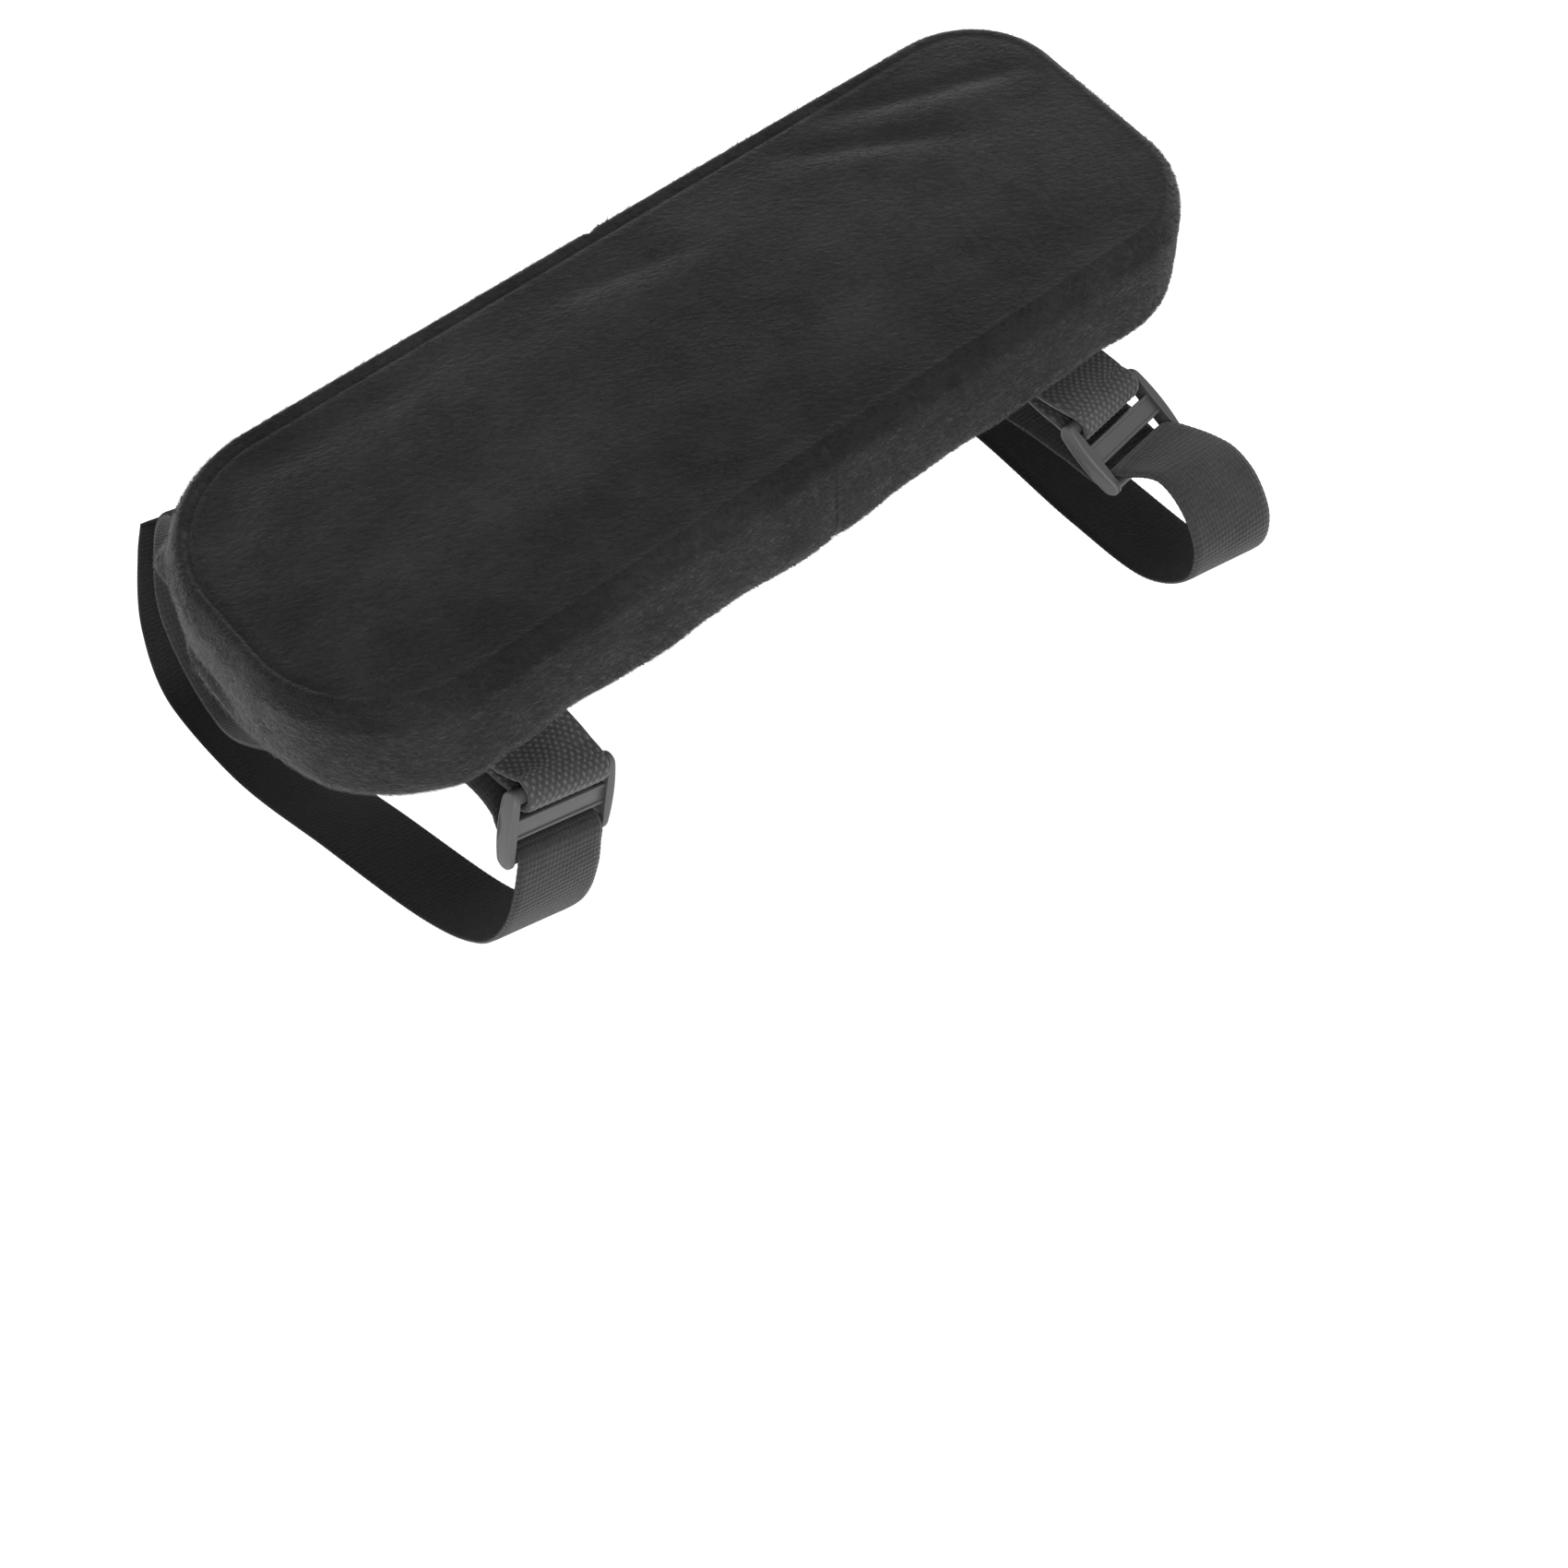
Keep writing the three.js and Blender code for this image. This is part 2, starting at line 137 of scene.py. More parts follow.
def link(tree, a, b):
    tree.links.new(a, b)


def node(tree, kind, **values):
    made = tree.nodes.new(kind)
    for key, value in values.items():
        if key in made.inputs:
            made.inputs[key].default_value = value
        else:
            setattr(made, key, value)
    return made


def ramp(tree, source, stops):
    made = tree.nodes.new("ShaderNodeValToRGB")
    elements = made.color_ramp.elements
    elements[0].position, elements[0].color = stops[0][0], (*stops[0][1], 1)
    elements[1].position, elements[1].color = stops[-1][0], (*stops[-1][1], 1)
    for place_at, color in stops[1:-1]:
        elements.new(place_at).color = (*color, 1)
    link(tree, source, made.inputs["Fac"])
    return made.outputs["Color"]


def grey(value):
    return (value, value, value)


def mix(tree, factor, a, b, blend="MIX"):
    made = tree.nodes.new("ShaderNodeMix")
    made.data_type = "RGBA"
    made.blend_type = blend
    for socket, value in ((0, factor), (6, a), (7, b)):
        if hasattr(value, "is_output"):
            link(tree, value, made.inputs[socket])
        elif socket == 0:
            made.inputs[0].default_value = value
        else:
            made.inputs[socket].default_value = (*value, 1)
    return made.outputs[2]


def object_coords(tree, rotation=(0, 0, 0), uv=False):
    coords = tree.nodes.new("ShaderNodeTexCoord")
    mapping = node(tree, "ShaderNodeMapping")
    mapping.inputs["Rotation"].default_value = rotation
    link(tree, coords.outputs["UV" if uv else "Object"], mapping.inputs["Vector"])
    return mapping.outputs["Vector"]


def noise_texture(tree, vector, scale, detail=3.0, roughness=0.55):
    made = node(tree, "ShaderNodeTexNoise", Scale=scale, Detail=detail, Roughness=roughness)
    link(tree, vector, made.inputs["Vector"])
    return made.outputs["Fac"]


def bump(tree, height, shader, strength, distance):
    made = node(tree, "ShaderNodeBump", Strength=strength, Distance=distance)
    link(tree, height, made.inputs["Height"])
    link(tree, made.outputs["Normal"], shader.inputs["Normal"])


def plush_material(name, dark, light, sheen, shaded_top_dark=None, shaded_top_light=None, fibres=False):
    """Short plush, mottled, with painted shade: darker tones where the cloth faces up."""
    material, tree, shader = new_material(name)
    patches = noise_texture(tree, object_coords(tree), 38, 3, 0.6)
    angle = math.atan2(PILE[0], PILE[1])
    along = tree.nodes.new("ShaderNodeMapping")
    along.inputs["Scale"].default_value = (1.0, 0.5, 1.0)
    link(tree, object_coords(tree, rotation=(0, 0, angle)), along.inputs["Vector"])
    strokes = noise_texture(tree, along.outputs["Vector"], 900, 3, 0.65)
    base = ramp(tree, patches, [(0.34, grey(dark)), (0.66, grey(light))])
    if shaded_top_dark is not None:
        # Painted shade: faces whose normal points up get the darker top tones.
        split = tree.nodes.new("ShaderNodeSeparateXYZ")
        link(tree, tree.nodes.new("ShaderNodeNewGeometry").outputs["Normal"], split.inputs[0])
        facing = ramp(tree, split.outputs["Z"], [(0.74, (0, 0, 0)), (0.99, (1, 1, 1))])
        upper = ramp(tree, patches, [(0.34, grey(shaded_top_dark)), (0.66, grey(shaded_top_light))])
        base = mix(tree, facing, base, upper)
    stroke_color = ramp(tree, strokes, [(0.3, grey(0.6)), (0.72, grey(1.1))])
    color = mix(tree, 1.0, base, stroke_color, "MULTIPLY")
    if fibres:
        island = tree.nodes.new("ShaderNodeNewGeometry").outputs["Random Per Island"]
        tip = ramp(tree, island, [(0.0, grey(0.62)), (0.85, grey(1.05)), (1.0, grey(1.5))])
        color = mix(tree, 1.0, base, tip, "MULTIPLY")
    link(tree, color, shader.inputs["Base Color"])
    shader.inputs["Roughness"].default_value = 0.92
    shader.inputs["Specular IOR Level"].default_value = 0.15
    shader.inputs["Sheen Weight"].default_value = sheen
    shader.inputs["Sheen Roughness"].default_value = 0.45
    shader.inputs["Sheen Tint"].default_value = (0.75, 0.75, 0.77, 1)
    if not fibres:
        bump(tree, strokes, shader, 0.5, 0.001)
    return material


def weave_mask(tree, along, across, staggered):
    """Raised yarns, from 0 to 1: ribs across the webbing, or rows of staggered dots.
    The pitches are in millimetres; UV is in tenths of a metre."""
    split = tree.nodes.new("ShaderNodeSeparateXYZ")
    link(tree, object_coords(tree, uv=True), split.inputs[0])
    waves = []
    for socket, pitch in (("X", along), ("Y", across)):
        turn = node(tree, "ShaderNodeMath", operation="MULTIPLY")
        turn.inputs[1].default_value = 200 * math.pi / pitch
        link(tree, split.outputs[socket], turn.inputs[0])
        wave = node(tree, "ShaderNodeMath", operation="COSINE")
        link(tree, turn.outputs[0], wave.inputs[0])
        waves.append(wave.outputs[0])
    both = node(tree, "ShaderNodeMath", operation="MULTIPLY" if staggered else "ADD")
    link(tree, waves[0], both.inputs[0])
    link(tree, waves[1], both.inputs[1])
    spread = node(tree, "ShaderNodeMapRange")
    spread.inputs["From Min"].default_value = 0.0 if staggered else -2.0
    spread.inputs["From Max"].default_value = 1.0 if staggered else 2.0
    link(tree, both.outputs[0], spread.inputs["Value"])
    return spread.outputs["Result"]


def webbing_material(name, dark, light, sheen, along=1.5, across=1.1, fuzzy=0.0, staggered=False):
    """Woven webbing with raised yarns, fine fibres and a little wear."""
    material, tree, shader = new_material(name)
    weave = weave_mask(tree, along, across, staggered)
    fine = noise_texture(tree, object_coords(tree), 1500, 4, 0.7)
    cloud = noise_texture(tree, object_coords(tree), 60, 2, 0.5)
    base = ramp(tree, weave, [(0.0, grey(dark)), (0.9, grey(light))])
    tone_shift = ramp(tree, cloud, [(0.3, grey(0.78)), (0.7, grey(1.15))])
    speck = ramp(tree, fine, [(0.3, grey(0.6)), (0.7, grey(1.3))])
    color = mix(tree, 1.0, mix(tree, 1.0, base, tone_shift, "MULTIPLY"), speck, "MULTIPLY")
    link(tree, color, shader.inputs["Base Color"])
    shader.inputs["Roughness"].default_value = 0.88
    shader.inputs["Specular IOR Level"].default_value = 0.15
    shader.inputs["Sheen Weight"].default_value = sheen
    shader.inputs["Sheen Roughness"].default_value = 0.4
    height = node(tree, "ShaderNodeMath", operation="MULTIPLY_ADD")
    height.inputs[1].default_value = max(0.0, 1.0 - fuzzy)
    link(tree, weave, height.inputs[0])
    scaled = node(tree, "ShaderNodeMath", operation="MULTIPLY")
    scaled.inputs[1].default_value = 0.7 + fuzzy
    link(tree, fine, scaled.inputs[0])
    link(tree, scaled.outputs["Value"], height.inputs[2])
    bump(tree, height.outputs["Value"], shader, 0.7, 0.00015 + 0.0005 * fuzzy)
    return material


def plastic_material(name, base, edge, roughness):
    """Moulded plastic: fine grain, with a painted highlight that makes the edges lighter."""
    material, tree, shader = new_material(name)
    # Painted highlight: convex edges are mixed towards the lighter edge tone.
    point = tree.nodes.new("ShaderNodeNewGeometry").outputs["Pointiness"]
    tone_shift = ramp(tree, point, [(0.47, (0, 0, 0)), (0.56, (1, 1, 1))])
    grain = noise_texture(tree, object_coords(tree), 1200, 3, 0.6)
    blotch = noise_texture(tree, object_coords(tree), 130, 2, 0.5)
    body = ramp(tree, blotch, [(0.3, grey(base * 0.85)), (0.7, grey(base * 1.1))])
    color = mix(tree, tone_shift, body, grey(edge))
    link(tree, color, shader.inputs["Base Color"])
    rough = node(tree, "ShaderNodeMapRange")
    rough.inputs["To Min"].default_value = roughness - 0.07
    rough.inputs["To Max"].default_value = roughness + 0.1
    link(tree, blotch, rough.inputs["Value"])
    link(tree, rough.outputs["Result"], shader.inputs["Roughness"])
    shader.inputs["Specular IOR Level"].default_value = 0.4
    bump(tree, grain, shader, 0.25, 0.0002)
    return material


def cloth_material(name, dark, light, thread_scale, sheen=0.3):
    """Plain woven cloth seen in object coordinates."""
    material, tree, shader = new_material(name)
    coords = object_coords(tree)
    wave_a = node(tree, "ShaderNodeTexWave", Scale=thread_scale, Distortion=0.6)
    wave_a.bands_direction = "X"
    wave_b = node(tree, "ShaderNodeTexWave", Scale=thread_scale, Distortion=0.6)
    wave_b.bands_direction = "Y"
    link(tree, coords, wave_a.inputs["Vector"])
    link(tree, coords, wave_b.inputs["Vector"])
    weave = node(tree, "ShaderNodeMath", operation="MULTIPLY")
    link(tree, wave_a.outputs["Fac"], weave.inputs[0])
    link(tree, wave_b.outputs["Fac"], weave.inputs[1])
    cloud = noise_texture(tree, coords, 45, 3, 0.55)
    base = ramp(tree, weave.outputs["Value"], [(0.0, grey(dark)), (0.7, grey(light))])
    tone_shift = ramp(tree, cloud, [(0.3, grey(0.8)), (0.7, grey(1.2))])
    link(tree, mix(tree, 1.0, base, tone_shift, "MULTIPLY"), shader.inputs["Base Color"])
    shader.inputs["Roughness"].default_value = 0.9
    shader.inputs["Specular IOR Level"].default_value = 0.2
    shader.inputs["Sheen Weight"].default_value = sheen
    bump(tree, weave.outputs["Value"], shader, 0.6, 0.0003)
    return material


def metal_material(name, base):
    material, tree, shader = new_material(name)
    blotch = noise_texture(tree, object_coords(tree), 300, 3, 0.6)
    # The edges are mixed towards a tone three times lighter than the body.
    point = tree.nodes.new("ShaderNodeNewGeometry").outputs["Pointiness"]
    tone_shift = ramp(tree, point, [(0.5, (0, 0, 0)), (0.58, (1, 1, 1))])
    body = ramp(tree, blotch, [(0.3, grey(base * 0.8)), (0.7, grey(base * 1.2))])
    link(tree, mix(tree, tone_shift, body, grey(base * 3)), shader.inputs["Base Color"])
    shader.inputs["Metallic"].default_value = 0.6
    shader.inputs["Roughness"].default_value = 0.38
    bump(tree, blotch, shader, 0.15, 0.0002)
    return material


def foam_material():
    material, tree, shader = new_material("foam")
    cells = node(tree, "ShaderNodeTexVoronoi", Scale=700.0)
    link(tree, object_coords(tree), cells.inputs["Vector"])
    # Painted shade: the colour darkens towards each cell's middle, where the bump sinks into a pore.
    tone = ramp(tree, cells.outputs["Distance"], [(0.0, (0.6, 0.55, 0.42)), (0.5, (0.85, 0.81, 0.68))])
    link(tree, tone, shader.inputs["Base Color"])
    shader.inputs["Roughness"].default_value = 0.95
    bump(tree, cells.outputs["Distance"], shader, 0.8, 0.0006)
    return material


# The darker values for faces that point up, here and in the fibre copy below, are painted shade on the
# top.
PLUSH = plush_material("plush", 0.0085, 0.0175, 0.22, 0.0042, 0.0115)
FIBRE = plush_material("plush_fibre", 0.0105, 0.0205, 0.24, fibres=True)
# Darker copy of the fibre material, for fibres on the top: painted shade.
FIBRE_SHADED_TOP = plush_material("plush_fibre_painted_top_shade", 0.0036, 0.0105, 0.06, fibres=True)
WEB_OUTER = webbing_material("webbing_outer", 0.024, 0.032, 0.18, fuzzy=0.4)
WEB_INNER = webbing_material("webbing_inner", 0.0042, 0.0048, 0.06, fuzzy=1.6)
WEB_TAB = webbing_material("webbing_tab", 0.048, 0.1, 0.25, 2.3, 1.8, staggered=True)
# The buckle's lighter edge tone is a painted highlight.
BUCKLE = plastic_material("buckle_plastic", 0.016, 0.075, 0.38)
BASE_CLOTH = cloth_material("base_cloth", 0.008, 0.022, 900.0)
ZIP_CLOTH = cloth_material("zip_cloth", 0.008, 0.02, 1500.0)
THREAD = cloth_material("thread", 0.012, 0.035, 2500.0)
# Near-black strip laid in the side seam's groove: painted shade.
SEAM = cloth_material("seam_shade", 0.001, 0.003, 2500.0, 0.05)
RUBBER = plastic_material("grip_rubber", 0.012, 0.03, 0.62)
ZIP_TEETH = plastic_material("zip_teeth", 0.014, 0.06, 0.3)
ZIP_METAL = metal_material("zip_metal", 0.05)
FOAM = foam_material()


# ---------------------------------------------------------------- cushion cover
def outline(inset, step=1.0):
    """Points round the cushion at an inset, with the same count and order at every inset."""
    x, y = PAD["x"], PAD["y"]
    front, rear = PAD["front"], PAD["rear"]
    f, r = max(front - inset, 0.0), max(rear - inset, 0.0)
    px, py = x - inset, y - inset
    points = []

    def straight(a, b, length):
        count = max(int(length / step), 2)
        for i in range(count):
            t = i / count
            points.append((a[0] + (b[0] - a[0]) * t, a[1] + (b[1] - a[1]) * t))

    def corner(cx, cy, radius, start, full):
        count = max(int(full * math.pi / 2 / step), 4)
        for i in range(count):
            a = start + math.pi / 2 * i / count
            points.append((cx + radius * math.cos(a), cy + radius * math.sin(a)))

    straight((-px + f, -py), (px - f, -py), 2 * (x - front))
    corner(px - f, -py + f, f, -math.pi / 2, front)
    straight((px, -py + f), (px, py - r), 2 * y - front - rear)
    corner(px - r, py - r, r, 0, rear)
    straight((px - r, py), (-px + r, py), 2 * (x - rear))
    corner(-px + r, py - r, r, math.pi / 2, rear)
    straight((-px, py - r), (-px, -py + f), 2 * y - front - rear)
    corner(-px + f, -py + f, f, math.pi, front)
    return np.array(points)


CREASES = (
    ((-36, 68), (-17, 117), 1.2),
    ((-33, 50), (-7, 94), 1.0),
    ((-30, -20), (-22, 20), 0.6),
)


def cover_profile():
    """Rows from the middle of the base, out and up the side, to the middle of the top:
    inset, height, and the piece of cloth (0 base, 1 band, 2 top)."""
    rows = []
    for inset in np.concatenate([np.linspace(44, 12, 11), np.linspace(11, 8.6, 4)]):
        rows.append((inset, PAD["low"] + 0.3 * float(smooth(12, 8.6, inset)), 0))
    rows.append((8.3, 2.3, 0))
    rows.append((BASE_INSET, 2.9, 1))
    for angle in np.linspace(math.asin(5.4 / 13), math.pi / 2, 15):
        rows.append((BOTTOM_ROUND * (1 - math.sin(angle)), 14.1 - BOTTOM_ROUND * math.cos(angle), 1))
    for z in np.linspace(15, PAD["top"] - TOP_ROUND - 0.8, 17):
        rows.append((0.0, z, 1))
    for angle in np.linspace(0, math.acos(1 - SEAM_INSET / TOP_ROUND), 9):
        rows.append((TOP_ROUND * (1 - math.cos(angle)), 32 + TOP_ROUND * math.sin(angle), 1))
    rows.append((4.7, 37.76, 1))
    rows.append((5.0, 37.72, 2))
    rows.append((5.4, 37.67, 2))
    for inset in np.concatenate([np.linspace(6, 12, 8), np.linspace(13, 30, 17), np.linspace(32, 44, 7)]):
        rows.append((inset, PAD["top"] - 0.4, 2))
    return rows


def shape_cover(points, inset, region):
    """The soft form: bulged side, rolled rim, dished and creased top, flared near end."""
    x, y, z = points[..., 0], points[..., 1], points[..., 2]
    out = np.zeros_like(points)
    out[..., :2] = edge_normal(points)
    left = smooth(8, -24, x)
    near = smooth(-72, -100, y)
    rim = np.maximum(left * (0.2 + 0.8 * smooth(118, 50, y)), near * smooth(38, 8, x))

    # Side: a slight belly, a soft wave along the lower edge, and the near end leaning out
    belly = np.sin(np.pi * np.clip((z - 3) / 32, 0, 1)) * (region == 1)
    push = 0.8 * belly
    wave = field(points * [1, 1, 0.25], 26, 3.1) * smooth(30, 6, z) * (region < 2) * smooth(20, 8, inset)
    push += 1.5 * wave
    low = smooth(24, 3, z) * smooth(24, 7, inset)
    push += 1.2 * low * smooth(-84, -104, y) * smooth(12, -8, x)
    points = points + out * push[..., None]

    # The cloth stands out in a soft ear at the near left corner
    turn = np.degrees(np.arctan2(y + 90, x + 9)) % 360
    ear = np.exp(-(((turn - 217) / np.where(turn > 217, 8.5, 12.0)) ** 2))
    flare = ear * smooth(31, 5, z) * smooth(24, 7, inset) * (x < -9) * (y < -70)
    points[..., 0] -= 9.5 * flare
    points[..., 1] -= 6.5 * flare
    points[..., 2] += 0.8 * flare

    # A fold along the lower part of the near end
    fold = smooth(218, 232, turn) * smooth(300, 270, turn) * (y < -80) * (region == 1)
    height = 13.5 + 2.0 * np.sin(np.radians(turn * 3))
    fold_push = 1.2 * np.exp(-(((z - height + 5) / 2.6) ** 2)) - 1.5 * np.exp(-(((z - height) / 2.2) ** 2))
    points = points + out * (fold * fold_push)[..., None]

    # The far end lies a little askew
    points[..., 1] += 2.8 * smooth(70, 125, y) * np.clip(-x / 40, -1, 1)

    # The joining seam down the middle of each long side
    seam = np.exp(-(((y - SIDE_SEAM["y"]) / 0.9) ** 2)) * (region == 1) * (np.abs(x) > 40)
    points = points - out * (SIDE_SEAM["depth"] * seam * smooth(2, 6, z))[..., None]

    # Top: rolled rim and groove along the left side and the near end, softer elsewhere
    strength = 0.03 + 0.97 * rim
    ridge = np.exp(-(((inset - 2.6) / 1.8) ** 2)) * smooth(33, 36.5, z)
    points[..., 2] += 0.9 * ridge * strength
    groove = np.exp(-(((inset - 5.0) / 0.9) ** 2)) * smooth(35, 36.5, z)
    points[..., 2] -= 1.0 * groove * strength
    top = region == 2
    inner = smooth(5.4, 9, inset) * top
    crown = 0.9 * smooth(6, 30, inset) * top
    dish = -1.3 * np.exp(-(((inset - 13) / 6) ** 2)) * left * smooth(20, -90, y) * top
    points[..., 2] += crown + dish
    points[..., 2] += 0.55 * field(points * [1, 0.8, 0], 30, 1.3) * inner
    points[..., 2] += 0.18 * field(points * [1.2, 0.7, 0], 8, 5.3) * inner

    # Shallow creases that run in from the left edge towards the far end
    for (x0, y0), (x1, y1), depth in CREASES:
        run = math.hypot(x1 - x0, y1 - y0)
        ux, uy = (x1 - x0) / run, (y1 - y0) / run
        along = ((x - x0) * ux + (y - y0) * uy) / run
        line = (x - x0) * uy - (y - y0) * ux
        fade = smooth(-0.15, 0.3, along) * smooth(1.15, 0.7, along) * inner
        points[..., 2] -= depth * np.exp(-((line / 3.2) ** 2)) * fade
        points[..., 2] += 0.35 * depth * np.exp(-(((line - 7) / 3.8) ** 2)) * fade

    # A recess for the zip, with the cloth folded in round it
    left_side = (x < -40) & (region == 1)
    inside = smooth(ZIP["half"] + 0.9, ZIP["half"] - 0.1, np.abs(z - ZIP["z"]))
    inside = inside * smooth(ZIP["y"] + 3.4, ZIP["y"] + 2.2, np.abs(y)) * left_side
    points[..., 0] += inside * (-41.0 - points[..., 0])
    lip = np.exp(-(((np.abs(z - ZIP["z"]) - ZIP["half"] - 1.6) / 1.0) ** 2)) * left_side
    points[..., 0] -= 0.5 * lip * smooth(ZIP["y"] + 5, ZIP["y"], np.abs(y)) * (1 - inside)
    return points


def edge_normal(points):
    """Unit vector out of the outline, in the plan, at each point."""
    x, y = points[..., 0], points[..., 1]
    radius = np.where(y < 0, PAD["front"], PAD["rear"])
    dx = np.maximum(np.abs(x) - (PAD["x"] - radius), 0) * np.sign(x)
    dy = np.maximum(np.abs(y) - (PAD["y"] - radius), 0) * np.sign(y)
    straight = (np.abs(dx) + np.abs(dy)) < 1e-6
    dx = np.where(straight, np.sign(x), dx)
    return unit(np.stack([dx, dy], -1))


def close_seams(obj):
    """Joins points that lie together and turns every face outwards."""
    shape = bmesh.new()
    shape.from_mesh(obj.data)
    bmesh.ops.remove_doubles(shape, verts=list(shape.verts), dist=0.00001)
    bmesh.ops.dissolve_degenerate(shape, edges=list(shape.edges), dist=0.00001)
    bmesh.ops.recalc_face_normals(shape, faces=list(shape.faces))
    shape.to_mesh(obj.data)
    shape.free()


def make_cover():
    profile = cover_profile()
    inset = np.array([row[0] for row in profile])
    height = np.array([row[1] for row in profile])
    kind = np.array([row[2] for row in profile])
    rings = [outline(value) for value in inset]
    grid = np.zeros((len(profile), len(rings[0]), 3))
    for i, ring in enumerate(rings):
        grid[i, :, :2] = ring
        grid[i, :, 2] = height[i]
    wide_inset = np.repeat(inset[:, None], grid.shape[1], 1)
    wide_kind = np.repeat(kind[:, None], grid.shape[1], 1)
    grid = shape_cover(grid, wide_inset, wide_kind)
    rows, columns = grid.shape[:2]
    points = grid.reshape(-1, 3).tolist()
    faces, slots = [], []
    for i in range(rows - 1):
        for j in range(columns):
            k = (j + 1) % columns
            faces.append((i * columns + j, i * columns + k, (i + 1) * columns + k, (i + 1) * columns + j))
            middle = (grid[i, j] + grid[i + 1, k]) / 2
            # Faces along the side seam take the near-black material: painted shade in the groove.
            seam = abs(middle[0]) > 40 and abs(middle[1] - SIDE_SEAM["y"]) < SIDE_SEAM["half"]
            seam = seam and kind[i + 1] == 1
            slots.append(2 if seam else min(int(kind[i + 1]), 1))
    cover = make_object("cushion_cover", points, faces, [BASE_CLOTH, PLUSH, SEAM], slots)
    close_seams(cover)
    place(cover, "cushion", "plush", "top_panel", "side_band", "base_panel")
    return grid, kind


def make_pile(grid, kind):
    """Short fibres over the plush, lying along the pile with a little disorder."""
    columns = grid.shape[1]
    a = grid[:-1]
    b = np.roll(grid, -1, 1)[:-1]
    c = np.roll(grid, -1, 1)[1:]
    d = grid[1:]
    keep = (kind[1:] > 0)[:, None] & np.ones((1, columns), bool)
    a, b, c, d = (part[keep] for part in (a, b, c, d))
    normal = np.cross(c - a, d - b)
    area = np.linalg.norm(normal, axis=1) / 2
    normal = unit(normal)
    recess = (a[:, 0] < -39) & (np.abs(a[:, 2] - ZIP["z"]) < ZIP["half"] + 0.6)
    area[recess & (np.abs(a[:, 1]) < ZIP["y"] + 3)] = 0
    from_seam = np.abs((a[:, 1] + c[:, 1]) / 2 - SIDE_SEAM["y"])
    area[(from_seam < SIDE_SEAM["half"]) & (np.abs(a[:, 0]) > 40)] = 0
    count = int(area.sum() * PILE_PER_MM2)
    picked = rng.choice(len(area), count, p=area / area.sum())
    u, v = rng.random((2, count, 1))
    root = (a[picked] * (1 - u) + b[picked] * u) * (1 - v) + (d[picked] * (1 - u) + c[picked] * u) * v
    n = normal[picked]
    lay = np.array(PILE)[None, :] * np.ones((count, 1))
    facing_up = smooth(0.5, 0.97, n[:, 2:3])
    swirl = (rng.random((count, 3)) - 0.5) * (1.3 + 1.3 * facing_up)
    clump = np.stack([field(root, 9, s, 1) for s in (11.0, 17.0, 23.0)], -1)
    lay = lay + swirl + clump * 0.8
    lay = unit(lay - n * np.sum(lay * n, 1, keepdims=True))
    lift = (0.2 + 0.22 * rng.random((count, 1))) * (1 - 0.3 * facing_up)
    facing_up = smooth(0.72, 0.99, n[:, 2:3] + 0.15 * clump[:, :1])
    length = (1.5 + 1.1 * rng.random((count, 1))) * (1 - 0.5 * facing_up)
    direction = unit(lay + n * lift)
    side = unit(np.cross(direction, n)) * (0.09 - 0.02 * facing_up)
    start = root - n * 0.15
    middle = start + direction * length * 0.6
    tip = start + direction * length + lay * length * 0.12 - n * length * 0.08
    points = np.stack([start - side, start + side, middle + side * 0.7, middle - side * 0.7, tip], 1)
    base = np.arange(count)[:, None] * 5
    quad = np.concatenate([base, base + 1, base + 2, base + 3], 1)
    last = np.concatenate([base + 3, base + 2, base + 4], 1)
    mesh = bpy.data.meshes.new("plush_pile")
    mesh.vertices.add(count * 5)
    mesh.vertices.foreach_set("co", (points * MM).astype(np.float32).ravel())
    loops = np.concatenate([quad, last], 1).ravel()
    mesh.loops.add(len(loops))
    mesh.loops.foreach_set("vertex_index", loops.astype(np.int32))
    mesh.polygons.add(count * 2)
    starts = (np.arange(count)[:, None] * 7 + np.array([[0, 4]])).ravel()
    mesh.polygons.foreach_set("loop_start", starts.astype(np.int32))
    mesh.materials.append(FIBRE)
    mesh.materials.append(FIBRE_SHADED_TOP)
    # Fibres that face up take the darker copy: painted shade on the top.
    upper = rng.random(count) < facing_up[:, 0]
    mesh.polygons.foreach_set("material_index", np.repeat(upper, 2).astype(np.int32))
    mesh.update(calc_edges=True)
    mesh.validate()
    made = bpy.data.objects.new("plush_pile", mesh)
    bpy.context.scene.collection.objects.link(made)
    place(made, "cushion", "plush")


# ---------------------------------------------------------------- straps
def buckle_frame(pivot, bar, down):
    bar, down = unit(bar), np.array(down, float)
    down = unit(down - bar * np.dot(down, bar))
    return {"pivot": np.array(pivot, float), "bar": bar, "down": down, "out": np.cross(down, bar)}


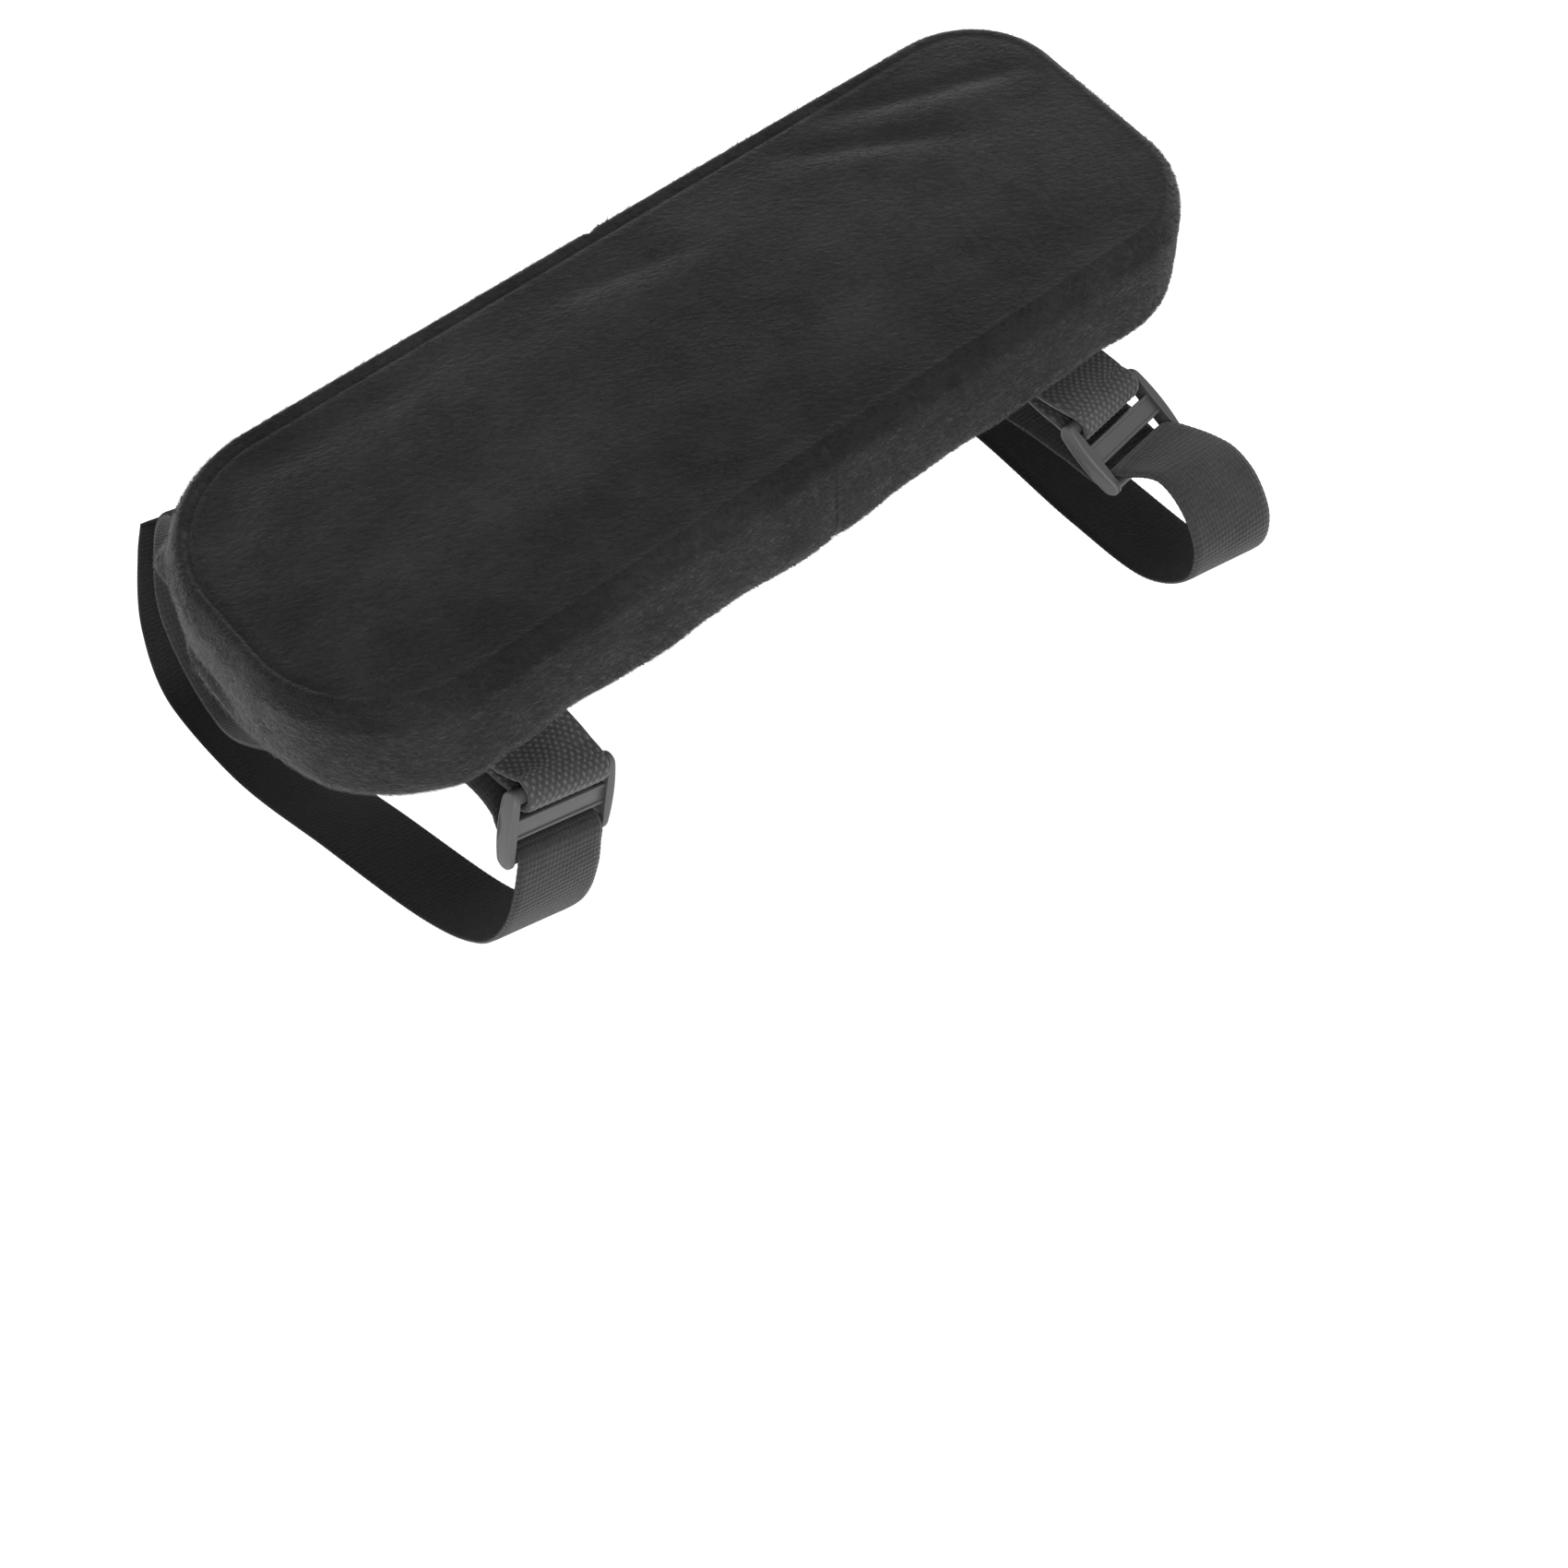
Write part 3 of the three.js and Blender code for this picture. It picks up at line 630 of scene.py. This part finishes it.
BUCKLES = {
    "front": buckle_frame([46.5, -77.9, -7], [-0.024, 0.926, -0.376], [0.201, -0.364, -0.909]),
    "rear": buckle_frame([49.0, 82.6, -1.7], [-0.19, 0.974, -0.125], [0.865, 0.105, -0.491]),
}
ACROSS = np.array([0.0, 1.0, 0.0])
STRAPS = {
    "front": {
        "tab_y": -78.6, "tab_angles": (21, 221), "tab_drop": -1.6, "bar_angles": (12, 90),
        "sewn": [(-6, -88.5, 0.1), (-18, -89, 0.1), (-30, -89.5, 0.1), (-46, -91.5, -0.6)],
        "inner": [
            (-64.3, -94, -3.5), (-73.4, -97.4, -22.2), (-70, -102.9, -40), (-49, -105.9, -59),
            (-21.3, -104.5, -41.5), (-3, -99, -26), (12, -92, -14.5), (25, -86.5, -9), (34, -83.5, -9),
            (40.5, -82.3, -12.5),
        ],
        "inner_across": np.array([-0.024, 0.926, -0.376]),
        "outer": [
            (53.6, -86.9, -31), (53, -89.4, -39.5), (49.4, -91.6, -49.5), (43, -93.4, -58.5),
            (25, -96, -71.5), (-12, -102, -77.5), (-51, -106.4, -86.5), (-73.8, -107.7, -77),
            (-80, -105.4, -53.5), (-78.7, -99.9, -27.3), (-77.4, -96.9, -16.7),
        ],
        "outer_across": np.array([0, 0.926, -0.376]),
    },
    "rear": {
        "tab_y": 83, "tab_angles": (60, 256), "tab_drop": -0.6, "bar_angles": (-5, 35),
        "sewn": [(-6, 86, 0.1), (-18, 86, 0.1), (-30, 86, 0.1), (-44, 86, -0.8)],
        "inner": [
            (-54, 86, -5.5), (-56, 86, -13), (-48, 86, -20), (-28, 86, -22.8),
            (0, 86, -22), (24, 85.5, -18.6), (38, 84.6, -15), (48, 83.8, -13),
        ],
        "inner_across": np.array([0, 1, 0]),
        "outer": [
            (76.1, 86.3, -1.2), (84.5, 86.3, -3.9), (91.1, 86.3, -13.2), (90.6, 86.3, -24.2),
            (79.1, 86.3, -35.2), (54.1, 86.3, -37.7), (21, 86.3, -36.2), (-15, 86.3, -38),
            (-45, 86.3, -38.5), (-62, 86.3, -32), (-69, 86.3, -19),
        ],
        "outer_across": np.array([0.086, 0.981, -0.174]),
    },
}


def round_bar(place_of, distance, radius, start, end, run=3.5):
    centre = place_of["pivot"] + place_of["down"] * distance

    def point(degrees, along):
        a = math.radians(degrees)
        down = along * math.sin(a) - radius * math.cos(a)
        out = along * math.cos(a) + radius * math.sin(a)
        return centre + place_of["down"] * down + place_of["out"] * out

    steps = math.ceil((end - start) / 45)
    turn = [point(start + (end - start) * i / steps, 0) for i in range(steps + 1)]
    return [(p, place_of["bar"]) for p in [point(start, -run), *turn, point(end, run)]]


class Path:
    """A smooth line through points, with a width direction at each, measured by its length."""

    def __init__(self, points):
        self.at = np.array([p for p, _ in points], float)
        self.across = np.array([a for _, a in points], float)
        fine = np.linspace(0, len(self.at) - 1, 4001)
        self.fine = fine
        line = np.array([self.point(t) for t in fine])
        self.run = np.concatenate([[0], np.cumsum(np.linalg.norm(np.diff(line, axis=0), axis=1))])
        self.line = line
        self.length = self.run[-1]

    def point(self, t):
        last = len(self.at) - 1
        i = min(int(t), last - 1)
        w = t - i
        p1, p2 = self.at[i], self.at[i + 1]
        p0 = self.at[i - 1] if i > 0 else 2 * self.at[0] - self.at[1]
        p3 = self.at[i + 2] if i + 2 <= last else 2 * self.at[last] - self.at[last - 1]
        d0, d1, d2 = (max(np.linalg.norm(b - a), 1e-4) ** 0.5 for a, b in ((p0, p1), (p1, p2), (p2, p3)))
        t1 = ((p1 - p0) / d0 - (p2 - p0) / (d0 + d1) + (p2 - p1) / d1) * d1
        t2 = ((p2 - p1) / d1 - (p3 - p1) / (d1 + d2) + (p3 - p2) / d2) * d1
        c2 = -3 * p1 + 3 * p2 - 2 * t1 - t2
        c3 = 2 * p1 - 2 * p2 + t1 + t2
        return p1 + t1 * w + c2 * w * w + c3 * w ** 3

    def to_point(self, index):
        return float(np.interp(index, self.fine, self.run))

    def centre(self, along):
        return np.stack([np.interp(along, self.run, self.line[:, k]) for k in range(3)], 1)

    def frames(self, along):
        """Centre, width direction and face normal at distances along the path."""
        step = 0.35
        ahead = self.centre(np.minimum(along + step, self.length))
        back = self.centre(np.maximum(along - step, 0))
        tangent = unit(ahead - back)
        t = np.interp(along, self.run, self.fine)
        i = np.minimum(t.astype(int), len(self.at) - 2)
        w = (t - i)[:, None]
        across = self.across[i] * (1 - w) + self.across[i + 1] * w
        across = unit(across - tangent * np.sum(across * tangent, 1, keepdims=True))
        return self.centre(along), across, np.cross(tangent, across)


def section(half, thick, count=12):
    """A webbing's cross-section, with thinner, rounded selvedges: (across, height, face)."""
    ys = np.linspace(-half + 0.35, half - 0.35, count)
    crown = 1 - 0.28 * np.clip((np.abs(ys) - half + 1.6) / 1.6, 0, 1) ** 2
    upper = [(y, thick * c, 0) for y, c in zip(ys, crown)]
    lower = [(y, -thick * c, 1) for y, c in zip(ys[::-1], crown[::-1])]
    return [(-half, 0.0, 0), *upper, (half, 0.0, 1), *lower]


def sweep(name, path, along, ys, height, materials, slots=None):
    """A ring of points at (ys, height) carried along a path, with both ends closed."""
    centre, across, normal = path.frames(along)
    grid = centre[:, None, :] + across[:, None, :] * ys[None, :, None]
    grid = grid + normal[:, None, :] * height[..., None]
    size, count = len(ys), len(along) - 1
    base = np.arange(count)[:, None] * size
    j = np.arange(size)[None, :]
    k = (j + 1) % size
    faces = np.stack([base + j, base + size + j, base + size + k, base + k], -1).reshape(-1, 4).tolist()
    last = count * size
    faces.append(tuple(range(size)))
    faces.append(tuple(last + m for m in reversed(range(size))))
    uv = np.stack([np.repeat(along[:, None], size, 1), np.repeat(ys[None, :], count + 1, 0)], -1)
    return make_object(name, grid.reshape(-1, 3), faces, materials, slots, uv.reshape(-1, 2))


def strip(name, path, start, end):
    """A strap's webbing between two distances along its path: grey outside, black inside."""
    count = max(int((end - start) / 0.5), 3)
    along = np.linspace(start, end, count + 1)
    ys, hs, sides = (np.array(column) for column in zip(*section(WEB["half"], WEB["thick"])))
    height = hs[None, :] + np.sign(hs)[None, :] * strap_relief(along[:, None], ys[None, :])
    slots = sides.tolist() * count + [1, 1]
    return sweep(name, path, along, ys, height, [WEB_OUTER, WEB_INNER], slots)


def strap_relief(along, across):
    """Faint ribs across the webbing and a line inside each selvedge."""
    rib = 0.06 * np.cos(along * 2 * math.pi / RIB_PITCH)
    edge = -0.16 * np.exp(-(((np.abs(across) - 10.5) / 0.45) ** 2))
    return rib + edge


def tab_relief(along, across):
    """Coarse webbing: staggered rows of raised dots."""
    row = np.round(along / TAB_ROW)
    half = TAB_DOT / 2
    stagger = np.where(row % 2 == 0, 0.0, half)
    du = (along - row * TAB_ROW) / 0.46
    dv = (np.mod(across + stagger + half, TAB_DOT) - half) / 0.5
    return 0.2 * np.exp(-(du ** 2 + dv ** 2)) * (np.abs(across) < 10.6)


def fine_tab(name, path):
    """A tab's webbing, fine enough to carry its raised dots on the outer face."""
    along = np.linspace(0, path.length, int(path.length / 0.35) + 1)
    ys, hs, _ = (np.array(column) for column in zip(*section(TAB["half"], TAB["thick"] - 0.12, 66)))
    relief = tab_relief(along[:, None], ys[None, :]) - 0.06
    height = hs[None, :] + np.where(hs > 0, 1, 0)[None, :] * relief
    return sweep(name, path, along, ys, height, [WEB_TAB])


def stitches(name, lines, z, pitch=2.6, length=2.0):
    """Rows of short thread stitches under the base, on lines given as (x, y) pairs."""
    points, faces = [], []
    for (x0, y0), (x1, y1) in lines:
        run = math.hypot(x1 - x0, y1 - y0)
        direction = np.array([(x1 - x0) / run, (y1 - y0) / run, 0])
        side = np.array([-direction[1], direction[0], 0])
        count = max(int(run / pitch), 1)
        for i in range(count):
            middle = np.array([x0, y0, z]) + direction * (i + 0.5) * run / count
            start = len(points)
            for t in (-0.5, -0.3, 0.0, 0.3, 0.5):
                swell = 0.32 * math.sqrt(max(1 - (2 * t) ** 2, 0.12))
                at = middle + direction * length * t - np.array([0, 0, 0.22 * (1 - (2 * t) ** 2)])
                for q in range(6):
                    a = math.pi * q / 3
                    rise = np.array([0, 0, swell * 0.8 * math.sin(a)])
                    points.append(at + side * swell * math.cos(a) + rise)
            for s in range(4):
                for q in range(6):
                    r = (q + 1) % 6
                    one, two = start + s * 6, start + (s + 1) * 6
                    faces.append((one + q, one + r, two + r, two + q))
            faces.append(tuple(start + q for q in reversed(range(6))))
            faces.append(tuple(start + 24 + q for q in range(6)))
    return make_object(name, points, faces, [THREAD])


def make_strap_set(name):
    place_of, data = BUCKLES[name], STRAPS[name]
    body, tail = f"{name}_buckle", f"{name}_tail"
    low_z = TAB["z"] - TAB["between"]
    y, drop = data["tab_y"], data["tab_drop"]
    upper = [(x, y, TAB["z"]) for x in (6, 17, 28)] + [(33, y, drop)]
    under = (33 - 0.35 * TAB["between"], y, drop - 1.2 * TAB["between"])
    lower = [under] + [(x, y, low_z) for x in (28, 17, 6)]
    wrap = round_bar(place_of, 0, TOP_BAR + BAR_GAP + TAB["thick"], *data["tab_angles"])
    tab = Path([(p, ACROSS) for p in upper] + wrap + [(p, ACROSS) for p in lower])
    place(fine_tab(f"{name}_tab_webbing", tab), "cushion", "webbing", f"{name}_tab")

    straps = Path(
        [(p, ACROSS) for p in data["sewn"]]
        + [(p, data["inner_across"]) for p in data["inner"]]
        + round_bar(place_of, 2 * BAR_PITCH, LOWER_BAR + BAR_GAP + WEB["thick"], *data["bar_angles"])
        + [(p, data["outer_across"]) for p in data["outer"]]
    )
    entry = straps.to_point(len(data["sewn"]) + len(data["inner"]) + 1)
    bend = entry - BRIDGE
    fixed = strip(f"{name}_strap_sewn", straps, 0, bend)
    place(fixed, "cushion", "webbing", f"{name}_strap_fixed")
    bridge = strip(f"{name}_strap_bend", straps, bend, entry + 0.2)
    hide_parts(f"{name}_strap_bridge")
    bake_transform(bridge)
    free = strip(f"{name}_strap_tail", straps, entry + 0.2, straps.length)
    place(free, tail, "webbing", f"{name}_strap_free")

    rows = [((12, y - 9.9), (12, y + 9.9)), ((22, y - 9.9), (22, y + 9.9))]
    rows += [((12, y), (22, y))]
    tack = stitches(f"{name}_tab_thread", rows, low_z - TAB["thick"] - 0.25)
    place(tack, "cushion", "thread", f"{name}_tab_stitch")
    x, y = data["sewn"][1][:2]
    s = 8.5
    box_rows = [((x - s, y - s), (x + s, y - s)), ((x + s, y - s), (x + s, y + s))]
    box_rows += [((x + s, y + s), (x - s, y + s)), ((x - s, y + s), (x - s, y - s))]
    box_rows += [((x - s, y - s), (x + s, y + s)), ((x - s, y + s), (x + s, y - s))]
    sewn = stitches(f"{name}_strap_thread", box_rows, SEWN_Z - 0.95)
    place(sewn, "cushion", "thread", f"{name}_strap_stitch")


# ---------------------------------------------------------------- buckles and zip
def bevelled_copy(name, source, material, body, slot, width):
    """A CAD node's own form with its edges rounded."""
    made = bpy.data.objects.new(name, nodes[source].data.copy())
    bpy.context.scene.collection.objects.link(made)
    made.data.materials.clear()
    made.data.materials.append(material)
    weld = made.modifiers.new("weld", "WELD")
    weld.merge_threshold = 0.00002
    flat = made.modifiers.new("flat", "DECIMATE")
    flat.decimate_type = "DISSOLVE"
    flat.angle_limit = math.radians(2)
    bevel = made.modifiers.new("bevel", "BEVEL")
    bevel.width = width * MM
    bevel.segments = 3
    bevel.limit_method = "ANGLE"
    bevel.angle_limit = math.radians(38)
    depsgraph = bpy.context.evaluated_depsgraph_get()
    mesh = bpy.data.meshes.new_from_object(made.evaluated_get(depsgraph))
    made.modifiers.clear()
    made.data = mesh
    mesh.polygons.foreach_set("use_smooth", [True] * len(mesh.polygons))
    mesh.set_sharp_from_angle(angle=math.radians(50))
    place(made, body, slot, source)


def rounded_box(size, edge, segments=4):
    """Points and faces of a box with rounded edges, centred on the origin."""
    shape = bmesh.new()
    bmesh.ops.create_cube(shape, size=1.0)
    for vertex in shape.verts:
        vertex.co = Vector((vertex.co.x * size[0], vertex.co.y * size[1], vertex.co.z * size[2]))
    bmesh.ops.bevel(
        shape, geom=list(shape.edges), offset=edge, segments=segments, profile=0.5, affect="EDGES"
    )
    points = np.array([v.co[:] for v in shape.verts])
    faces = [[v.index for v in f.verts] for f in shape.faces]
    shape.free()
    return points, faces


def rail_shape(edge=0.6):
    """A buckle's rail, longest along x: round ends, a flat inner face and a bowed outer face."""
    length, height = RAIL["length"], RAIL["height"]
    r = height / 2
    ring, normal = [], []
    for cx, start in ((length / 2 - r, -90), (-length / 2 + r, 90)):
        for i in range(13):
            a = math.radians(start + 180 * i / 12)
            ring.append((cx + r * math.cos(a), r * math.sin(a)))
            normal.append((math.cos(a), math.sin(a)))
        if cx > 0:
            for t in np.linspace(0.8, -0.8, 9):
                ring.append((t * (length / 2 - r), r))
                normal.append((0, 1))
        else:
            for t in np.linspace(-0.8, 0.8, 9):
                ring.append((t * (length / 2 - r), -r))
                normal.append((0, -1))
    ring, normal = np.array(ring), np.array(normal)
    thick = RAIL["end"] + RAIL["bow"] * (1 - (2 * ring[:, 0] / length) ** 2)
    steps = [math.pi / 2 * i / 4 for i in range(5)]
    rows = [(0.3 * (1 - math.cos(a)), 0.3 * (1 - math.sin(a)), 0) for a in steps]
    rows += [(edge * (1 - math.cos(a)), edge * (1 - math.sin(a)), 1) for a in reversed(steps)]
    points, faces = [], []
    size = len(ring)
    for offset, inward, outer in rows:
        q = ring - normal * inward
        y = thick - offset if outer else np.full(size, offset)
        points.append(np.stack([q[:, 0], y, q[:, 1]], 1))
    for i in range(len(rows) - 1):
        for j in range(size):
            k = (j + 1) % size
            faces.append([i * size + j, i * size + k, (i + 1) * size + k, (i + 1) * size + j])
    faces.append([j for j in reversed(range(size))])
    faces.append([(len(rows) - 1) * size + j for j in range(size)])
    return np.concatenate(points), faces


def round_rod(radius, length, x, count=20):
    angles = np.linspace(0, 2 * math.pi, count, endpoint=False)
    ends = (-length / 2, length / 2)
    points = [(x + radius * math.cos(a), y, radius * math.sin(a)) for y in ends for a in angles]
    faces = [[j, (j + 1) % count, count + (j + 1) % count, count + j] for j in range(count)]
    return np.array(points), faces


def make_buckle(name):
    place_of = BUCKLES[name]
    pieces = []
    rail, rail_faces = rail_shape()
    inner = BAR_LENGTH / 2
    pieces.append((rail + [BAR_PITCH, inner, 0], rail_faces))
    mirrored = rail * [1, -1, 1] + [BAR_PITCH, -inner, 0]
    pieces.append((mirrored, [face[::-1] for face in rail_faces]))
    for x, radius in ((0, TOP_BAR), (2 * BAR_PITCH, LOWER_BAR)):
        pieces.append(round_rod(radius, BAR_LENGTH + 1.2, x))
    plate, plate_faces = rounded_box((5.4, BAR_LENGTH + 1.2, 1.5), 0.35)
    pieces.append((plate + [BAR_PITCH, 0, 0.25], plate_faces))
    for side in (-1, 1):
        lip, lip_faces = rounded_box((0.9, BAR_LENGTH + 1, 2.0), 0.35)
        pieces.append((lip + [BAR_PITCH + side * 2.25, 0, 0.4], lip_faces))
    points, faces, start = [], [], 0
    basis = np.stack([place_of["down"], place_of["bar"], place_of["out"]])
    for local, local_faces in pieces:
        points.append(local @ basis + place_of["pivot"])
        faces += [[start + i for i in f] for f in local_faces]
        start += len(local)
    made = make_object(f"{name}_tri_glide", np.concatenate(points), faces, [BUCKLE])
    close_seams(made)
    made.data.set_sharp_from_angle(angle=math.radians(60))
    place(made, f"{name}_buckle", "buckle_plastic", f"{name}_buckle")


def make_zip():
    """Two rows of moulded teeth that mesh across the middle of the zip."""
    points, faces, start = [], [], 0
    tooth, tooth_faces = rounded_box((1.9, 1.05, 2.3), 0.3, 2)
    head, head_faces = rounded_box((2.1, 1.3, 0.9), 0.3, 2)
    count = int(2 * 63 / TOOTH_PITCH)
    for i in range(count):
        side = 1 if i % 2 else -1
        y = (i - (count - 1) / 2) * TOOTH_PITCH
        for part, part_faces, z in ((tooth, tooth_faces, 0.75), (head, head_faces, -0.3)):
            points.append(part + [-42.9, y, ZIP["z"] + side * z])
            faces += [[start + k for k in f] for f in part_faces]
            start += len(part)
    made = make_object("zip_teeth", np.concatenate(points), faces, [ZIP_TEETH])
    place(made, "cushion", "zip_teeth", "zip_coil_upper", "zip_coil_lower")
    for end in ("front", "rear"):
        bevelled_copy(f"zip_end_{end}", f"zip_stop_{end}", ZIP_METAL, "cushion", "zip_metal", 0.35)
    bevelled_copy("zip_slider_body", "zip_slider", ZIP_METAL, "zip_slider", "zip_metal", 0.22)
    bevelled_copy("zip_pull_tab", "zip_pull", ZIP_METAL, "zip_pull", "zip_metal", 0.25)
    for name in ("zip_tape_upper", "zip_tape_lower"):
        recolour(nodes[name], ZIP_CLOTH)


def make_grip():
    """Rubber patch with rows of low round studs on its lower face."""
    bevelled_copy("grip_patch", "grip_panel", RUBBER, "cushion", "grip_rubber", 0.25)
    points, faces, start = [], [], 0
    for row in range(21):
        for column in range(8):
            x, y = (column - 3.5) * 5.2 + (row % 2 - 0.5) * 1.3, (row - 10) * 5.0
            if abs(x) > 19.5 or (abs(x) > 15 and abs(y) > 48):
                continue
            for r, z in ((1.5, 0.05), (1.35, -0.2), (0.8, -0.38)):
                for q in range(12):
                    a = math.pi * q / 6
                    points.append((x + r * math.cos(a), y + r * math.sin(a), z))
            for layer in range(2):
                for q in range(12):
                    one, two = start + layer * 12, start + layer * 12 + 12
                    faces.append([one + (q + 1) % 12, one + q, two + q, two + (q + 1) % 12])
            faces.append([start + 24 + q for q in reversed(range(12))])
            start += 36
    place(make_object("grip_studs", points, faces, [RUBBER]), "cushion", "grip_rubber")


grid, kind = make_cover()
make_pile(grid, kind)
for set_name in ("front", "rear"):
    make_strap_set(set_name)
    make_buckle(set_name)
make_zip()
make_grip()
recolour(nodes["foam_core"], FOAM)


# ---------------------------------------------------------------- stage, light and camera
def make_stage():
    """A plain pale floor, below the lowest point that a strap reaches in any pose."""
    material, _, shader = new_material("floor")
    shader.inputs["Base Color"].default_value = (0.97, 0.97, 0.97, 1)
    shader.inputs["Roughness"].default_value = 0.9
    mesh = bpy.data.meshes.new("floor")
    size, z = 6.0, -0.13
    corners = [(-size, -size, z), (size, -size, z), (size, size, z), (-size, size, z)]
    mesh.from_pydata(corners, [], [(0, 1, 2, 3)])
    mesh.materials.append(material)
    floor = bpy.data.objects.new("floor", mesh)
    bpy.context.scene.collection.objects.link(floor)


def add_light(name, location, size, power):
    """A square lamp that looks at the origin."""
    data = bpy.data.lights.new(name, "AREA")
    data.shape = "SQUARE"
    data.size = size
    data.energy = power
    lamp = bpy.data.objects.new(name, data)
    lamp.location = location
    lamp.rotation_euler = (-Vector(location)).to_track_quat("-Z", "Y").to_euler()
    bpy.context.scene.collection.objects.link(lamp)


make_stage()
add_light("key", (-0.5, 0.5, 1.3), 1.0, 12)
add_light("fill", (1.0, -0.5, 0.6), 1.0, 9.5)
add_light("near", (0.1, -1.2, 0.5), 0.8, 4)
world = bpy.data.worlds.new("studio")
world.use_nodes = True
world.node_tree.nodes["Background"].inputs["Color"].default_value = (1, 1, 1, 1)
world.node_tree.nodes["Background"].inputs["Strength"].default_value = 0.9
bpy.context.scene.world = world
bpy.context.scene.view_settings.view_transform = "Standard"

camera_data = bpy.data.cameras.new("camera")
camera_data.sensor_width = 36.0
camera_data.lens = 50.82
camera_data.clip_start = 0.01
camera = bpy.data.objects.new("camera", camera_data)
camera.location = (0.27163, -0.20587, 0.39808)
camera.rotation_euler = (math.radians(32.0), 0, math.radians(49.61))
bpy.context.scene.collection.objects.link(camera)
bpy.context.scene.camera = camera
